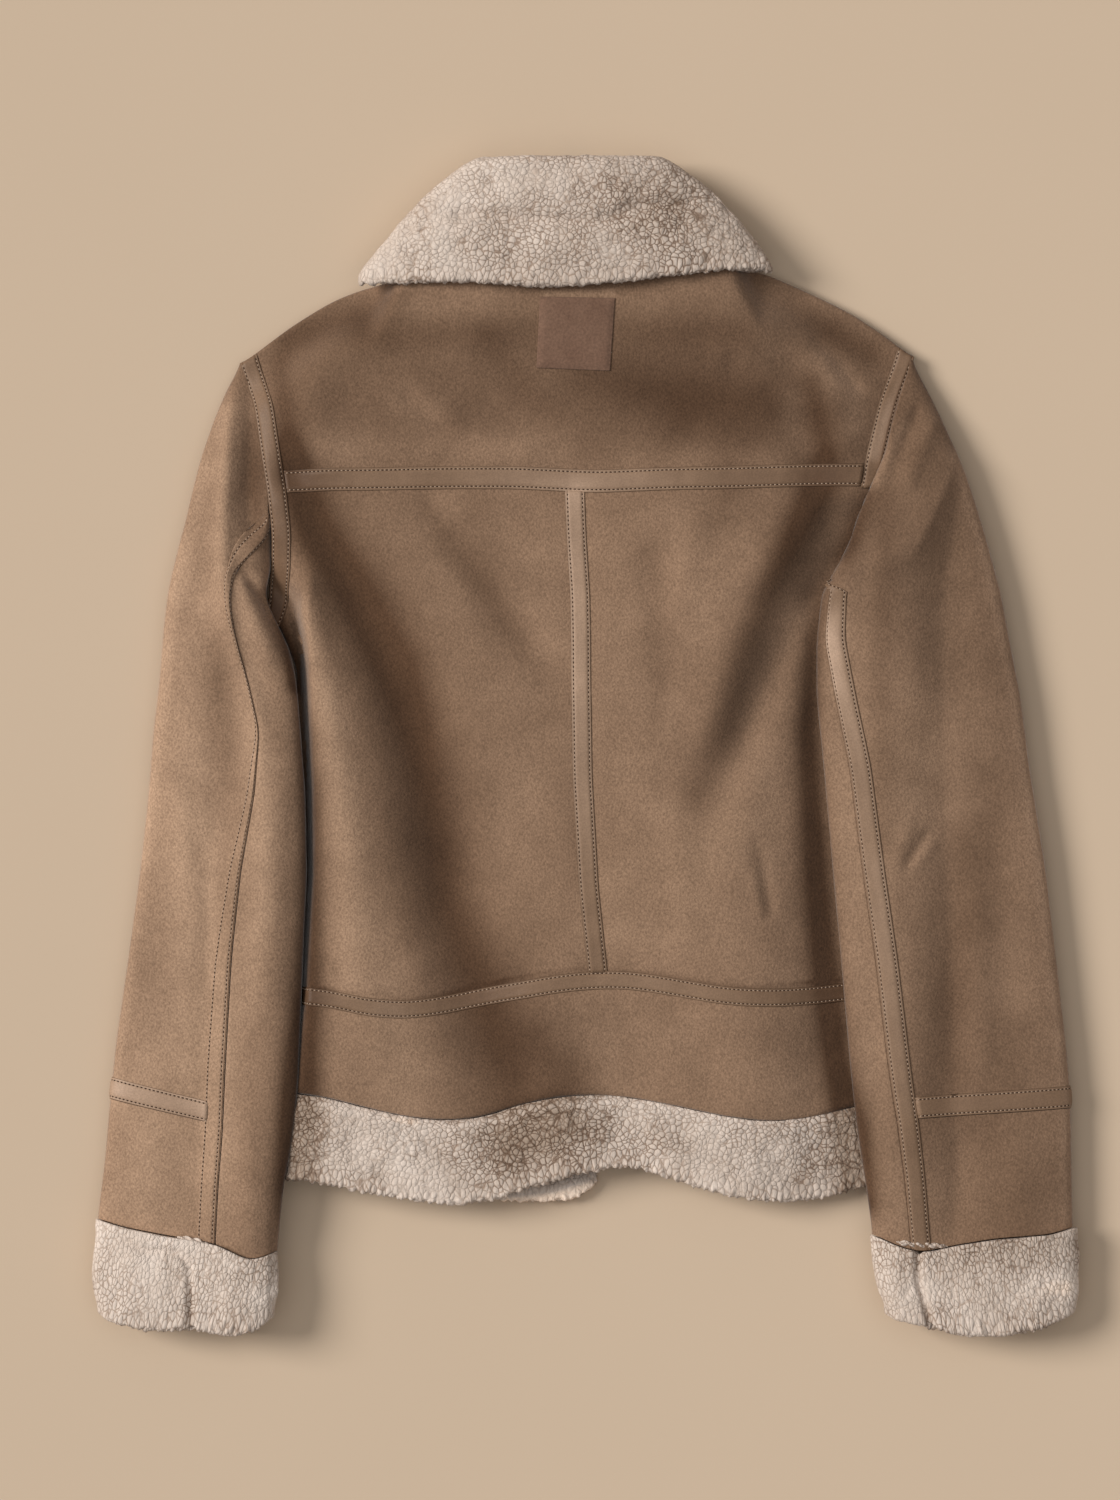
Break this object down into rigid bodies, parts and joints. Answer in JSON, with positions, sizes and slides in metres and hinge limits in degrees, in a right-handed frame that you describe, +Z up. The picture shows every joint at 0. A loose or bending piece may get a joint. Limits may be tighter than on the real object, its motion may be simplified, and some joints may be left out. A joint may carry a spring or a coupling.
{
  "type": "faux shearling aviator jacket",
  "caption": "Short suede-faced jacket laid flat, back up, with a folded pile collar, pile cuffs and hem, and smooth tapes over its seams.",
  "frame": {"origin": "centre of the flat garment's box, on the surface it lies on", "axes": "+Y from hem to collar, +Z up out of the back, +X to the right seen from above"},
  "size_m": [0.6336, 0.753, 0.0448],
  "materials": {
    "suede": "napped suede face, matt, mottled",
    "tape": "smooth faux leather, satin",
    "pile": "curly cream pile",
    "patch": "brushed faux leather, blank"
  },
  "bodies": {
    "root": {"back_yoke": "suede", "back_left": "suede", "back_right": "suede", "back_hem_band": "suede", "front_left": "suede", "front_right": "suede", "sleeve_outer_l": "suede", "sleeve_lower_l": "suede", "sleeve_under_l": "suede", "sleeve_outer_r": "suede", "sleeve_lower_r": "suede", "sleeve_under_r": "suede", "yoke_strap": "tape", "centre_strap": "tape", "waist_strap": "tape", "armhole_tape_l": "tape", "seam_tape_l": "tape", "cross_tape_l": "tape", "armhole_tape_r": "tape", "seam_tape_r": "tape", "cross_tape_r": "tape", "collar": "pile", "back_hem_trim": "pile", "front_trim_left": "pile", "front_trim_right": "pile", "cuff_l": "pile", "cuff_r": "pile", "blank_patch": "patch"}
  },
  "joints": []
}
